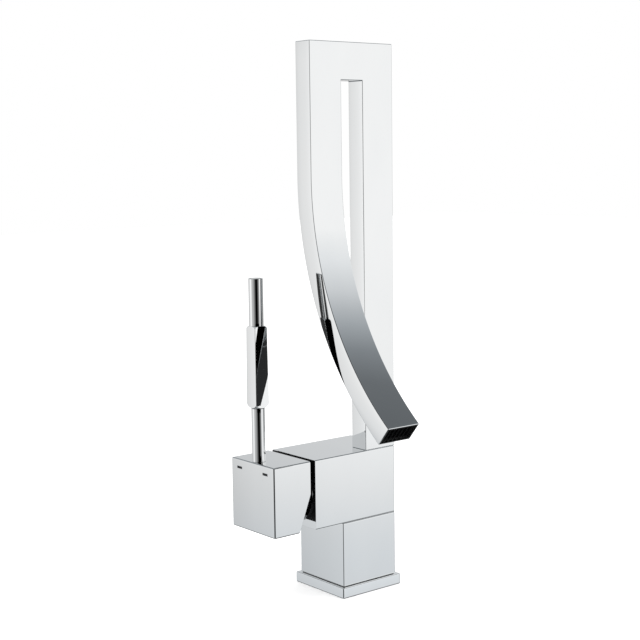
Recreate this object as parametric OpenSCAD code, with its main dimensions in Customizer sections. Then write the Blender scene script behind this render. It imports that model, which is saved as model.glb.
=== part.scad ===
// Waterfall basin mixer, in millimetres. A square column carries a valve block
// laid on its side. A flat-tube spout stands on the block, and its left leg
// bends forward as a ribbon. A square cap with an upright lever works a ceramic
// disc cartridge that lies along X in the block.
// Origin at the centre of the flange's underside, on the deck. +Z is up, and
// the user stands on the -Y side, with the lever on their left at -X.

/* [Body] */
// Width by which the deck flange stands out round the column
flange_lip = 2.5; // [2:0.25:8]
// Height of the deck flange
flange_h = 7; // [5:0.5:9]
// Wall of the valve block round the bore for the clamping nut
block_wall = 3.1; // [2.6:0.1:5]
// Height of the column above the flange
column_h = 42.5; // [38:0.5:60]
// Wall of the hollow column
column_wall = 3.5; // [3:0.25:4]
// Length of the valve block behind the cartridge's seat
block_end = 25.5; // [22:0.5:29]

/* [Spout] */
// Height of the spout above the valve block
spout_h = 261; // [240:1:290]
// Thickness of the flat spout tube, front to back
spout_t = 14; // [14:0.5:18]
// Width of the straight riser leg
riser_w = 25; // [24:0.5:27]
// Width of the ribbon leg that bends forward
ribbon_w = 25; // [20:0.5:28]
// Height of the closed crown above the slot
crown_h = 23.5; // [18:0.5:32]
// Height above the block at which the ribbon starts to bend
bend_rise = 178.5; // [170:0.5:190]
// Radius of the bend, to the front face of the ribbon
bend_r = 192; // [180:1:200]
// Angle through which the ribbon bends
bend_angle = 50.4; // [44:0.2:52]
// Wall of the spout tube
spout_wall = 2; // [1.6:0.1:2.4]
// Thin wall of the tube round the outlet mouth
mouth_wall = 1.3; // [1:0.1:1.5]
// Length of the black flow insert in the mouth
insert_len = 9; // [6:0.5:14]
// Depth of the insert behind the cut end of the ribbon
insert_recess = 1.6; // [1:0.1:3]

/* [Handle] */
// Length of the square cap along the valve axis
cap_len = 29; // [28.5:0.5:33]
// Running gap between the cap and the valve block
cap_gap = 3.8; // [3.4:0.1:5]
// Wall of the hollow side of the cap
cap_wall = 3.5; // [3:0.25:4.5]
// Thickness of the cap's solid outer end, which holds the lever
cap_end = 11.8; // [11:0.2:12.4]
// Height of the bevel under the cap, on the block side
bevel_h = 24; // [20:0.5:28]
// Run of that bevel along the valve axis
bevel_run = 9.3; // [8.8:0.1:9.6]
// Length of each index mark on the cap's outer face
mark_len = 5.2; // [3:0.2:8]
// Height of each index mark
mark_h = 1.6; // [1:0.1:3]

/* [Lever] */
// Distance of the lever's axis from the outer face of the cap
rod_in = 5.5; // [5:0.1:6]
// Diameter of the lower rod
rod_low_d = 8.2; // [7.4:0.1:9]
// Length of the lower rod above the cap
rod_low_len = 34.1; // [28:0.1:40]
// Side of the square grip at its foot
grip_foot_w = 10.2; // [9.8:0.1:12]
// Side of the square grip at its head
grip_head_w = 9.4; // [9.2:0.1:10.2]
// Length of the grip
grip_len = 52.2; // [40:0.2:60]
// Diameter of the upper rod
rod_top_d = 9; // [7.5:0.1:9]
// Length of the upper rod
rod_top_len = 29.8; // [24:0.1:40]

/* [Cartridge] */
// Diameter of the cartridge
cart_d = 35; // [34:0.1:38]
// Length of the cartridge from its seat to its shoulder
cart_len = 34; // [33.6:0.1:35]
// Step from the cartridge's bore out to the bore of the clamping nut
nut_step = 1.9; // [1.6:0.1:2.4]
// Length of the clamping nut
nut_len = 6.8; // [6:0.1:7.2]
// Depth of the nut behind the end face of the block
nut_recess = 1.2; // [1:0.1:1.6]
// Distance from the lever's pivot to the ball that drives the discs
ball_arm = 12; // [11.5:0.1:12.2]
// Angle that the lever tilts to open fully
tilt_max = 25; // [20:1:25]

/* [Hidden] */
$fn = 96;

// Length by which every cut runs past the face that it opens
over = 1;
// Slack between two parts that slip together
slip = 0.1;
// Slack of a thread or a driven pin in its hole
thread_slack = 0.02;
// Running clearance of a turning part in its bore
run = 0.07;

// Square section that the column, the block and the cap share
nut_bore_d = cart_d + 2 * nut_step;
bar_w = nut_bore_d + 2 * block_wall;
flange_w = bar_w + 2 * flange_lip;
body_len = nut_recess + nut_len + cart_len + block_end;

// Main planes and places
col_top = flange_h + column_h;
body_top = col_top + bar_w;
axis_z = col_top + bar_w / 2;
body_right = bar_w / 2;
body_left = body_right - body_len;
front_y = -bar_w / 2;
cap_right = body_left - cap_gap;
cap_left = cap_right - cap_len;
spout_top = body_top + spout_h;
slot_top = spout_top - crown_h;
bend_z = body_top + bend_rise;
riser_x = body_right - riser_w / 2;
riser_y = front_y + spout_t / 2;
ribbon_right = body_left + ribbon_w;

// Flange: corner round and the gasket groove as a share of the ring's width
flange_corner = 1;
gasket_t = 1.6;
gasket_share = 0.42;
foot_w = bar_w - 2 * column_wall - 4 * slip;
window_w = foot_w + 4 * slip;
rim_w = (flange_w - window_w) / 2;
gasket_in_w = window_w + rim_w * (1 - gasket_share);
gasket_out_w = gasket_in_w + 2 * rim_w * gasket_share;
// Shadow step round the foot of the column
seam = 0.6;

// Foot block: height, threads for the inlets and for the deck stud
foot_h = 18;
inlet_x = 6;
inlet_thread_r = 4.5;
inlet_thread_len = 10;
stud_thread_r = 3.4;
stud_thread_len = 12;
stud_x = -10.5;

// Tie screws: M4 socket heads let into the foot, threaded into the block
tie_r = 2;
tie_edge = 8.5;
tie_at = bar_w / 2 - tie_edge;
tie_head_r = 3.5;
tie_head_h = 4;
tie_head_in = 0.8;
tie_slack = 0.2;
tie_thread_len = 8;
tie_tip_gap = 0.5;
hex_r = 1.75;
hex_depth = 2.4;

// Pipes and their round seals
pipe_r = 4;
pipe_bore_r = 3;
pipe_socket = 8;
foot_web = 2;
foot_seat_z = inlet_thread_len + foot_web;
block_seat_z = col_top + pipe_socket;
seal_d = 1.6;
seal_slack = 0.05;

// Cartridge, measured from its seat in the block towards the cap
cart_r = cart_d / 2;
cart_wall = 2;
cart_in_r = cart_r - cart_wall;
port_r = 3.2;
port_land = 0.4;
port_edge = 1.8;
port_ring = cart_in_r - port_edge - seal_d - port_land - port_r;
port_angles = [90, 210, 330];
shoulder_x = body_left + nut_recess + nut_len;
seat_x = shoulder_x + cart_len;
inlet_y = port_ring * cos(30);
inlet_z = axis_z - port_ring * sin(30);
outlet_z = axis_z + port_ring;
base_flange_t = 3;
base_t = 6;
disc_t = 4;
film = 0.05;
plate_gap = 0.25;
moving_edge = 2.5;
mix_edge = 3.2;
mix_depth = 2.2;
plate_t = 3;
shoulder_w = 5.1;
collar_r = cart_r - shoulder_w;
collar_wall = 2.5;
collar_len = 5;
neck_r = collar_r - collar_wall;
neck_proud = 0.5;
washer_t = 0.8;
base_x = seat_x - base_t;
disc_x = base_x - disc_t;
moving_x = disc_x - film;
plate_x = moving_x - disc_t;
turret_x = plate_x - plate_t - plate_gap;
wall_x = shoulder_x + cart_wall;
turret_end_x = wall_x + washer_t + 2 * film;
neck_x = shoulder_x - collar_len - neck_proud;

// Stem, its pivot and the ball that slides the disc carrier
pivot_out = 1;
pivot_x = shoulder_x - pivot_out;
pin_r = 1.5;
pin_gap = 0.3;
stem_w = 8;
stem_side_gap = 0.2;
ball_r = 3;
ball_gap = 0.3;
stem_neck_r = 1.7;
stem_neck_len = 6;
boss_w = 11.2;
boss_mouth = 2;
swing_gap = 0.5;
ball_x = pivot_x + ball_arm;
travel = ball_arm * sin(tilt_max);
disc_z = axis_z - travel / 2;
moving_r = cart_in_r - travel / 2 - moving_edge;
mix_r = moving_r - mix_edge;
boss_end_x = ball_x - boss_mouth;
swing_x = pivot_x + ball_arm * cos(tilt_max) - ball_r;
slot_half = stem_neck_len * sin(tilt_max) + stem_w / 2 * cos(tilt_max) + 2 * swing_gap;

// Nut and bonnet ring
nut_slack = 0.1;
nut_in_r = collar_r + 2 * slip;
notch_w = 4;
notch_depth = 2;
notches = 4;
bonnet_lip = 1.6;
bonnet_r = nut_bore_d / 2 + bonnet_lip;
bonnet_in_r = nut_in_r + 4 * slip;
bonnet_t = 1.2;
skirt_t = 1.8;

// Cap, its stem socket and the grub screw under it
socket_wall = 5;
socket_half = stem_w / 2 + socket_wall;
socket_back = 4.2;
socket_len = cap_len - cap_end - socket_back;
grub_r = 2.5;
grub_edge = 1.5;
plug_t = 2.6;
end_face_x = cap_left + cap_end;
grub_x = cap_right - bevel_run - grub_edge - grub_r;
stem_end_gap = 0.3;
mark_depth = 0.4;
mark_y = 13.5;
mark_down = 5.4;

// Lever: stud, spigots and the turned ends of the grip
rod_x = cap_left + rod_in;
stud_r = 2.5;
stud_down = 12;
stud_up = 12;
stud_gap = 0.5;
spigot_len = 8;
foot_round = 4.5;
head_round = 2.5;
round_over = 0.15;
top_edge = 0.5;
grip_z = body_top + rod_low_len;
rod_top_z = grip_z + grip_len;
lever_top = rod_top_z + rod_top_len;

// Riser joint: threaded nipple, seal and two dowels
riser_floor = 5;
nipple_r = 4;
nipple_bore_r = 2.9;
nipple_down = 8;
dowel_r = 1.5;
dowel_edge = 3.2;
dowel_down = 5;
dowel_up = 3.5;
dowel_at = riser_w / 2 - dowel_edge;

// Outlet: the arc that the ribbon and its insert follow, and the insert's slits
arc_y = front_y - bend_r;
mid_r = bend_r + spout_t / 2;
arc_over = 1;
insert_slits = 6;
slit_w = 2.2;
slit_edge = 1.6;
function arc_deg(length) = length / mid_r * 180 / PI;
insert_end_deg = bend_angle - arc_deg(insert_recess);
insert_start_deg = insert_end_deg - arc_deg(insert_len);
mouth_deg = insert_start_deg - arc_deg(slip);

// Box between two opposite corners
module box(low, high) {
    translate(low) cube(high - low);
}

// Upright square block centred on the column
module upright(w, low, high) {
    box([-w / 2, -w / 2, low], [w / 2, w / 2, high]);
}

module along_x(low, high, y, z, r) {
    translate([low, y, z]) rotate([0, 90, 0]) cylinder(h = high - low, r = r);
}

module along_y(low, high, x, z, r) {
    translate([x, low, z]) rotate([-90, 0, 0]) cylinder(h = high - low, r = r);
}

module along_z(low, high, x, y, r) {
    translate([x, y, low]) cylinder(h = high - low, r = r);
}

// Round piece on the valve's own axis
module turned(low, high, r) {
    along_x(low, high, 0, axis_z, r);
}

// The three ports of the cartridge, the outlet first
module ports(low, high, r) {
    for (a = port_angles)
        along_x(low, high, port_ring * cos(a), axis_z + port_ring * sin(a), r);
}

// Groove for a round seal round each port
module port_grooves(low, high) {
    difference() {
        ports(low, high, port_r + port_land + seal_d);
        ports(low - over, high + over, port_r + port_land);
    }
}

module round_seal(r) {
    rotate_extrude() translate([r, 0]) circle(r = seal_d / 2 - seal_slack);
}

module port_seals(x) {
    for (a = port_angles)
        translate([x, port_ring * cos(a), axis_z + port_ring * sin(a)])
            rotate([0, 90, 0]) round_seal(port_r + port_land + seal_d / 2);
}

// Stretch of the bent ribbon between two angles, as a bar of given section
module arc_bar(from, to, r_in, r_out, x_low, x_high) {
    translate([0, arc_y, bend_z]) rotate([-90, 0, 90]) rotate([0, 0, from])
        rotate_extrude(angle = to - from)
            translate([r_in, -x_high]) square([r_out - r_in, x_high - x_low]);
}

module base_flange() {
    corner = flange_w / 2 - flange_corner;
    color("silver") difference() {
        linear_extrude(flange_h) union() {
            square([flange_w, 2 * corner], center = true);
            square([2 * corner, flange_w], center = true);
            for (x = [-corner, corner], y = [-corner, corner])
                translate([x, y]) circle(r = flange_corner);
        }
        upright(window_w, -over, flange_h + over);
        difference() {
            upright(gasket_out_w, -over, gasket_t);
            upright(gasket_in_w, -2 * over, gasket_t + over);
        }
    }
}

module base_gasket() {
    color("black") difference() {
        upright(gasket_out_w - 2 * slip, 0, gasket_t);
        upright(gasket_in_w + 2 * slip, -over, gasket_t + over);
    }
}

module column_shell() {
    color("silver") difference() {
        upright(bar_w, flange_h, col_top);
        upright(bar_w - 2 * column_wall, flange_h - over, col_top + over);
        difference() {
            upright(bar_w + 2 * over, flange_h - over, flange_h + seam);
            upright(bar_w - 2 * seam, flange_h - 2 * over, flange_h + 2 * seam);
        }
    }
}

module tie_places() {
    for (x = [-tie_at, tie_at], y = [-tie_at, tie_at]) translate([x, y, 0]) children();
}

module inlet_places() {
    for (y = [-inlet_y, inlet_y]) translate([inlet_x, y, 0]) children();
}

module seal_groove(z) {
    translate([0, 0, z]) cylinder(h = seal_d, r = pipe_r + seal_d);
}

module column_foot() {
    color("goldenrod") difference() {
        upright(foot_w, 0, foot_h);
        along_z(-over, stud_thread_len, stud_x, 0, stud_thread_r);
        inlet_places() {
            along_z(-over, inlet_thread_len, 0, 0, inlet_thread_r);
            along_z(-over, foot_h + over, 0, 0, pipe_bore_r);
            along_z(foot_seat_z, foot_h + over, 0, 0, pipe_r + slip);
            seal_groove((foot_seat_z + foot_h - seal_d) / 2);
        }
        tie_places() {
            along_z(-over, foot_h + over, 0, 0, tie_r + tie_slack);
            along_z(-over, tie_head_in + tie_head_h, 0, 0, tie_head_r + tie_slack);
        }
    }
}

module tie_screws() {
    color("gray") tie_places() difference() {
        union() {
            along_z(tie_head_in, tie_head_in + tie_head_h, 0, 0, tie_head_r);
            along_z(tie_head_in, col_top + tie_thread_len - tie_tip_gap, 0, 0, tie_r);
        }
        translate([0, 0, tie_head_in - over]) cylinder(h = hex_depth + over, r = hex_r, $fn = 6);
    }
}

module inlet_pipe(y) {
    translate([inlet_x, y, 0]) difference() {
        along_z(foot_seat_z + slip, block_seat_z - slip, 0, 0, pipe_r);
        along_z(foot_seat_z - over, block_seat_z + over, 0, 0, pipe_bore_r);
    }
}

module hot_pipe() {
    color("peru") inlet_pipe(inlet_y);
}

module cold_pipe() {
    color("peru") inlet_pipe(-inlet_y);
}

module pipe_seals() {
    color("black") inlet_places()
        for (z = [(foot_seat_z + foot_h) / 2, col_top + pipe_socket / 2])
            translate([0, 0, z]) round_seal(pipe_r + seal_d / 2);
}

module valve_body() {
    color("gainsboro") difference() {
        box([body_left, front_y, col_top], [body_right, -front_y, body_top]);
        turned(body_left - over, seat_x, cart_r + slip);
        turned(body_left - over, shoulder_x, nut_bore_d / 2);
        // Inlet ways from the underside to the seat
        inlet_places() {
            along_z(col_top - over, block_seat_z, 0, 0, pipe_r + slip);
            along_z(col_top - over, inlet_z, 0, 0, pipe_bore_r);
            seal_groove(col_top + (pipe_socket - seal_d) / 2);
        }
        for (y = [-inlet_y, inlet_y])
            along_x(seat_x - over, inlet_x + pipe_bore_r, y, inlet_z, pipe_bore_r);
        // Outlet way from the seat, across and up to the riser
        along_x(seat_x - over, riser_x + nipple_bore_r, 0, outlet_z, nipple_bore_r);
        along_y(riser_y, nipple_bore_r, riser_x, outlet_z, nipple_bore_r);
        along_z(outlet_z - nipple_bore_r, body_top + over, riser_x, riser_y, nipple_bore_r);
        along_z(body_top - nipple_down - slip, body_top + over, riser_x, riser_y,
            nipple_r + thread_slack);
        along_z(body_top - seal_d, body_top + over, riser_x, riser_y, nipple_r + seal_d);
        for (x = [riser_x - dowel_at, riser_x + dowel_at])
            along_z(body_top - dowel_down, body_top + over, x, riser_y, dowel_r + thread_slack);
        tie_places() along_z(col_top - over, col_top + tie_thread_len, 0, 0, tie_r + thread_slack);
    }
}

module spout_riser() {
    color("gainsboro") difference() {
        box([body_right - riser_w, front_y, body_top], [body_right, front_y + spout_t, slot_top]);
        box([body_right - riser_w + spout_wall, front_y + spout_wall, body_top + riser_floor],
            [body_right - spout_wall, front_y + spout_t - spout_wall, slot_top + over]);
        along_z(body_top - over, slot_top, riser_x, riser_y, nipple_r + thread_slack);
        for (x = [riser_x - dowel_at, riser_x + dowel_at])
            along_z(body_top - over, body_top + dowel_up, x, riser_y, dowel_r + thread_slack);
    }
}

module spout_crown() {
    low_y = front_y + spout_wall;
    high_y = front_y + spout_t - spout_wall;
    color("gainsboro") difference() {
        box([body_left, front_y, slot_top], [body_right, front_y + spout_t, spout_top]);
        box([body_left + spout_wall, low_y, slot_top + spout_wall],
            [body_right - spout_wall, high_y, spout_top - spout_wall]);
        box([body_left + spout_wall, low_y, slot_top - over],
            [ribbon_right - spout_wall, high_y, slot_top + 2 * spout_wall]);
        box([body_right - riser_w + spout_wall, low_y, slot_top - over],
            [body_right - spout_wall, high_y, slot_top + 2 * spout_wall]);
    }
}

module spout_ribbon() {
    color("gainsboro") difference() {
        union() {
            box([body_left, front_y, bend_z], [ribbon_right, front_y + spout_t, slot_top]);
            arc_bar(0, bend_angle, bend_r, bend_r + spout_t, body_left, ribbon_right);
        }
        box([body_left + spout_wall, front_y + spout_wall, bend_z],
            [ribbon_right - spout_wall, front_y + spout_t - spout_wall, slot_top + over]);
        arc_bar(0, bend_angle + arc_over, bend_r + spout_wall, bend_r + spout_t - spout_wall,
            body_left + spout_wall, ribbon_right - spout_wall);
        arc_bar(mouth_deg, bend_angle + arc_over, bend_r + mouth_wall,
            bend_r + spout_t - mouth_wall, body_left + mouth_wall, ribbon_right - mouth_wall);
    }
}

module spout_nipple() {
    color("goldenrod") difference() {
        along_z(body_top - nipple_down, body_top + riser_floor, riser_x, riser_y, nipple_r);
        along_z(body_top - nipple_down - over, body_top + riser_floor + over,
            riser_x, riser_y, nipple_bore_r);
    }
}

module spout_seal() {
    color("black") translate([riser_x, riser_y, body_top - seal_d / 2])
        round_seal(nipple_r + seal_d / 2);
}

module spout_dowels() {
    color("gray") for (x = [riser_x - dowel_at, riser_x + dowel_at])
        along_z(body_top - dowel_down + slip, body_top + dowel_up - slip, x, riser_y, dowel_r);
}

module flow_insert() {
    low_x = body_left + mouth_wall + slip;
    high_x = ribbon_right - mouth_wall - slip;
    pitch = (high_x - low_x - 2 * slit_edge + slit_w / 2) / insert_slits;
    color("black") difference() {
        arc_bar(insert_start_deg, insert_end_deg, bend_r + mouth_wall + slip,
            bend_r + spout_t - mouth_wall - slip, low_x, high_x);
        for (i = [0 : insert_slits - 1])
            arc_bar(insert_start_deg - arc_over, insert_end_deg + arc_over,
                bend_r + spout_wall + slip, bend_r + spout_t - spout_wall - slip,
                low_x + slit_edge + i * pitch, low_x + slit_edge + i * pitch + slit_w);
    }
}

module cartridge_base() {
    color("dimgray") difference() {
        union() {
            turned(seat_x - base_flange_t, seat_x, cart_r);
            turned(base_x, seat_x, cart_in_r - slip);
        }
        ports(base_x - over, seat_x + over, port_r);
        port_grooves(seat_x - seal_d, seat_x + over);
        port_grooves(base_x - over, base_x + seal_d);
    }
}

module base_seals() {
    color("black") port_seals(seat_x - seal_d / 2);
}

module disc_seals() {
    color("black") port_seals(base_x + seal_d / 2);
}

module fixed_disc() {
    color("white") difference() {
        turned(disc_x, base_x, cart_in_r - slip);
        ports(disc_x - over, base_x + over, port_r);
    }
}

module cartridge_housing() {
    color("dimgray") difference() {
        union() {
            turned(shoulder_x, seat_x - base_flange_t, cart_r);
            turned(shoulder_x - collar_len, shoulder_x + over, collar_r);
        }
        turned(wall_x, seat_x + over, cart_in_r);
        turned(shoulder_x - collar_len - over, wall_x + over, neck_r + run);
    }
}

module thrust_washer() {
    color("ivory") difference() {
        turned(wall_x + film, wall_x + film + washer_t, cart_in_r - slip);
        turned(wall_x, wall_x + 2 * washer_t, neck_r + slip);
    }
}

module cartridge_nut() {
    color("goldenrod") difference() {
        turned(shoulder_x - nut_len, shoulder_x, nut_bore_d / 2 - nut_slack);
        turned(shoulder_x - nut_len - over, shoulder_x + over, nut_in_r);
        translate([shoulder_x - nut_len, 0, axis_z])
            for (i = [0 : notches - 1]) rotate([i * 360 / notches, 0, 0])
                box([-over, -notch_w / 2, nut_in_r - over],
                    [notch_depth, notch_w / 2, nut_in_r + notch_depth]);
    }
}

module bonnet_ring() {
    color("silver") difference() {
        union() {
            turned(body_left - bonnet_t, body_left, bonnet_r);
            difference() {
                turned(body_left - slip, body_left + nut_recess - slip, nut_bore_d / 2 - slip);
                turned(body_left, body_left + nut_recess + over, nut_bore_d / 2 - skirt_t);
            }
        }
        turned(body_left - bonnet_t - over, body_left + over, bonnet_in_r);
    }
}

// Slots in the turret: one for the carrier's boss and the ball, one for the stem
module turret_slots() {
    boss_half = boss_w / 2 + 1.5 * slip;
    stem_half = stem_w / 2 + stem_side_gap;
    box([swing_x - swing_gap, -boss_half, axis_z - boss_w / 2 - swing_gap],
        [turret_x + over, boss_half, axis_z + boss_w / 2 + travel + swing_gap]);
    box([neck_x - over, -stem_half, axis_z - slot_half],
        [turret_x + over, stem_half, axis_z + slot_half]);
}

module stem_turret() {
    color("whitesmoke") difference() {
        union() {
            turned(turret_end_x, turret_x, cart_in_r - run);
            turned(neck_x, turret_x, neck_r);
        }
        turret_slots();
        along_y(-cart_in_r, cart_in_r, pivot_x, axis_z, pin_r + thread_slack);
    }
}

module pivot_pin() {
    color("gray") along_y(-neck_r + pin_gap, neck_r - pin_gap, pivot_x, axis_z, pin_r);
}

module moving_disc() {
    color("white") difference() {
        along_x(plate_x, moving_x, 0, disc_z, moving_r);
        along_x(moving_x - mix_depth, moving_x + over, 0, disc_z, mix_r);
    }
}

module disc_carrier() {
    color("dimgray") difference() {
        union() {
            along_x(plate_x - plate_t, plate_x, 0, disc_z, moving_r);
            box([boss_end_x, -boss_w / 2, axis_z - boss_w / 2],
                [plate_x, boss_w / 2, axis_z + boss_w / 2]);
        }
        turned(boss_end_x - over, ball_x + ball_r + 2 * ball_gap, ball_r + ball_gap);
    }
}

module stem() {
    half = stem_w / 2;
    body_x = pivot_x + stem_neck_len;
    color("goldenrod") difference() {
        union() {
            translate([ball_x, 0, axis_z]) sphere(r = ball_r);
            turned(body_x - over, ball_x, stem_neck_r);
            box([end_face_x + stem_end_gap, -half, axis_z - half], [body_x, half, axis_z + half]);
        }
        along_y(-stem_w, stem_w, pivot_x, axis_z, pin_r + run);
    }
}

module handle_cap() {
    inner = bar_w / 2 - cap_wall;
    hole_half = stem_w / 2 + slip;
    color("gainsboro") difference() {
        union() {
            difference() {
                box([cap_left, front_y, col_top], [cap_right, -front_y, body_top]);
                box([end_face_x, -inner, axis_z - inner], [cap_right + over, inner, axis_z + inner]);
            }
            box([end_face_x - over, -socket_half, axis_z - socket_half],
                [end_face_x + socket_len, socket_half, axis_z + socket_half]);
        }
        // Bevel under the block side of the cap
        translate([0, bar_w, 0]) rotate([90, 0, 0]) linear_extrude(2 * bar_w) polygon([
            [cap_right - bevel_run, col_top],
            [cap_right, col_top + bevel_h],
            [cap_right + over, col_top + bevel_h],
            [cap_right + over, col_top - over],
            [cap_right - bevel_run, col_top - over]
        ]);
        box([end_face_x, -hole_half, axis_z - hole_half],
            [cap_right + over, hole_half, axis_z + hole_half]);
        along_z(col_top - over, axis_z, grub_x, 0, grub_r + thread_slack);
        along_z(body_top - stud_down - stud_gap, body_top + over, rod_x, 0, stud_r + thread_slack);
        for (y = [-mark_y, mark_y]) mark(y, mark_depth, over);
    }
}

// Index mark let into the outer face of the cap
module mark(y, depth, proud) {
    z = body_top - mark_down;
    box([cap_left - proud, y - mark_len / 2, z - mark_h / 2],
        [cap_left + depth, y + mark_len / 2, z + mark_h / 2]);
}

module index_hot() {
    color("black") mark(mark_y, mark_depth, 0);
}

module index_cold() {
    color("black") mark(-mark_y, mark_depth, 0);
}

module grub_screw() {
    color("gray") difference() {
        along_z(axis_z - socket_half, axis_z - stem_w / 2, grub_x, 0, grub_r);
        translate([grub_x, 0, axis_z - socket_half - over])
            cylinder(h = hex_depth + over, r = hex_r, $fn = 6);
    }
}

module grub_plug() {
    color("silver") along_z(col_top, col_top + plug_t, grub_x, 0, grub_r);
}

module lever_stud() {
    color("gray") along_z(body_top - stud_down, body_top + stud_up, rod_x, 0, stud_r);
}

module lever_rod_lower() {
    color("silver") difference() {
        union() {
            along_z(body_top, grip_z, rod_x, 0, rod_low_d / 2);
            along_z(grip_z - over, grip_z + spigot_len, rod_x, 0, stud_r);
        }
        along_z(body_top - over, body_top + stud_up + stud_gap, rod_x, 0, stud_r + thread_slack);
    }
}

// Turned outline of the grip, wider than the square bar but for its rounded ends
module grip_outline() {
    wide = grip_foot_w / sqrt(2) + round_over;
    head = grip_head_w / sqrt(2) + round_over;
    union() {
        translate([0, grip_z + foot_round])
            square([wide, grip_len - foot_round - head_round]);
        translate([0, grip_z]) square([wide - foot_round, grip_len]);
        intersection() {
            translate([wide - foot_round, grip_z + foot_round]) circle(r = foot_round);
            translate([0, grip_z]) square([wide, 2 * foot_round]);
        }
        translate([0, grip_z]) square([head - head_round, grip_len]);
        intersection() {
            translate([head - head_round, rod_top_z - head_round]) circle(r = head_round);
            translate([0, grip_z + foot_round]) square([head, grip_len]);
        }
    }
}

// Tapered plate as wide as the grip, seen from one side
module grip_side() {
    translate([0, bar_w / 2, grip_z]) rotate([90, 0, 0]) linear_extrude(bar_w) polygon([
        [-grip_foot_w / 2, 0],
        [grip_foot_w / 2, 0],
        [grip_head_w / 2, grip_len],
        [-grip_head_w / 2, grip_len]
    ]);
}

module lever_grip() {
    color("gainsboro") translate([rod_x, 0, 0]) difference() {
        intersection() {
            rotate_extrude() grip_outline();
            grip_side();
            rotate([0, 0, 90]) grip_side();
        }
        along_z(grip_z - over, grip_z + spigot_len + stud_gap, 0, 0, stud_r + thread_slack);
        along_z(rod_top_z - spigot_len - stud_gap, rod_top_z + over, 0, 0, stud_r + thread_slack);
    }
}

module lever_rod_upper() {
    color("silver") union() {
        along_z(rod_top_z, lever_top - top_edge, rod_x, 0, rod_top_d / 2);
        along_z(rod_top_z - spigot_len, rod_top_z + over, rod_x, 0, stud_r);
        translate([rod_x, 0, lever_top - top_edge])
            cylinder(h = top_edge, r1 = rod_top_d / 2, r2 = rod_top_d / 2 - top_edge);
    }
}

base_flange();
base_gasket();
column_shell();
column_foot();
tie_screws();
hot_pipe();
cold_pipe();
pipe_seals();
valve_body();
spout_riser();
spout_crown();
spout_ribbon();
spout_nipple();
spout_seal();
spout_dowels();
flow_insert();
cartridge_base();
base_seals();
fixed_disc();
disc_seals();
cartridge_housing();
thrust_washer();
cartridge_nut();
bonnet_ring();
stem_turret();
pivot_pin();
moving_disc();
disc_carrier();
stem();
handle_cap();
grub_screw();
grub_plug();
lever_stud();
lever_rod_lower();
lever_grip();
lever_rod_upper();
index_hot();
index_cold();
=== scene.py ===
from math import atan2, cos, degrees, radians, sin, sqrt

import bmesh
import bpy
from mathutils import Matrix, Vector


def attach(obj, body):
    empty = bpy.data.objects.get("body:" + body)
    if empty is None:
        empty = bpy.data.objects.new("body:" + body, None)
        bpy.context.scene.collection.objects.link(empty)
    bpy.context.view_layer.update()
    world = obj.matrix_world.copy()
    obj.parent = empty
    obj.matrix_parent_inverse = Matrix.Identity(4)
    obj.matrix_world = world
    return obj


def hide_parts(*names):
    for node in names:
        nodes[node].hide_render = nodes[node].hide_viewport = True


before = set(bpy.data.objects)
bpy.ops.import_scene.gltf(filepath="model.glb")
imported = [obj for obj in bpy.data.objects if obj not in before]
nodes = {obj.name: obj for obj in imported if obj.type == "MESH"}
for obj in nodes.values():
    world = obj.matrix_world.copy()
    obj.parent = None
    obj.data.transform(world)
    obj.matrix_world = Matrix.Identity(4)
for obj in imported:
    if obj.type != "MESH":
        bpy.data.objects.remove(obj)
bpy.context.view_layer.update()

scene = bpy.context.scene

# Camera
# A long lens in front of the lever's side, a little above the block, so that the
# left and front faces show at about the same width.
camera_at = (-0.56319, -0.67210, 0.28600)
turned, tipped, rolled = -38.876, 7.010, -0.775
bpy.ops.object.select_all(action="DESELECT")
bpy.ops.object.camera_add()
camera = bpy.context.object
camera.name = "studio_camera"
camera.data.sensor_width = 36
camera.data.lens = 75.6
camera.matrix_world = (
    Matrix.Translation(camera_at)
    @ Matrix.Rotation(radians(turned), 4, "Z")
    @ Matrix.Rotation(radians(90 - tipped), 4, "X")
    @ Matrix.Rotation(radians(rolled), 4, "Z")
)
scene.camera = camera

# Deck flange and gasket
# A square plate of brass, milled with a window for the foot and a groove for the
# gasket, then polished and chrome plated. The gasket is a die-cut rubber ring.
flange_w, flange_h, window_from = 50, 7, 6
flange_corner_r, flange_edge_r, flange_foot_r = 1, 0.4, 0.9
groove_from, groove_w, groove_deep = 1.74, 2.52, 1.6
square_on, sharp = 0.99, 0.6
close = 0.00001


def mm(*lengths):
    """Lengths in millimetres as a vector in metres."""
    return Vector(lengths) * 0.001


def pick(kind, test):
    """In edit mode, selects the faces or edges that pass a test."""
    bpy.ops.mesh.select_mode(type="FACE" if kind == "faces" else "EDGE")
    bpy.ops.mesh.select_all(action="DESELECT")
    mesh = bpy.context.object.data
    draft = bmesh.from_edit_mesh(mesh)
    draft.normal_update()
    for item in getattr(draft, kind):
        if test(item):
            item.select_set(True)
    bmesh.update_edit_mesh(mesh)


def facing(side):
    """Test for level faces that look up, where side is 1, or down, where it is -1."""
    def test(face):
        return face.normal.z * side > square_on
    return test


def long_corners(length, out=0):
    """Test for upright edges over a length and further out in X than a distance, in millimetres."""
    def test(edge):
        a, b = (vert.co for vert in edge.verts)
        return abs(a.z - b.z) > length * 0.001 and abs(a.x) > out * 0.001
    return test


def bar_stock(name, low, high):
    """A cube added between two corners, in millimetres, and left in edit mode."""
    bpy.ops.object.select_all(action="DESELECT")
    low, high = mm(*low), mm(*high)
    bpy.ops.mesh.primitive_cube_add(size=1, location=(low + high) / 2, scale=high - low)
    return on_the_bench(name)


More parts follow.
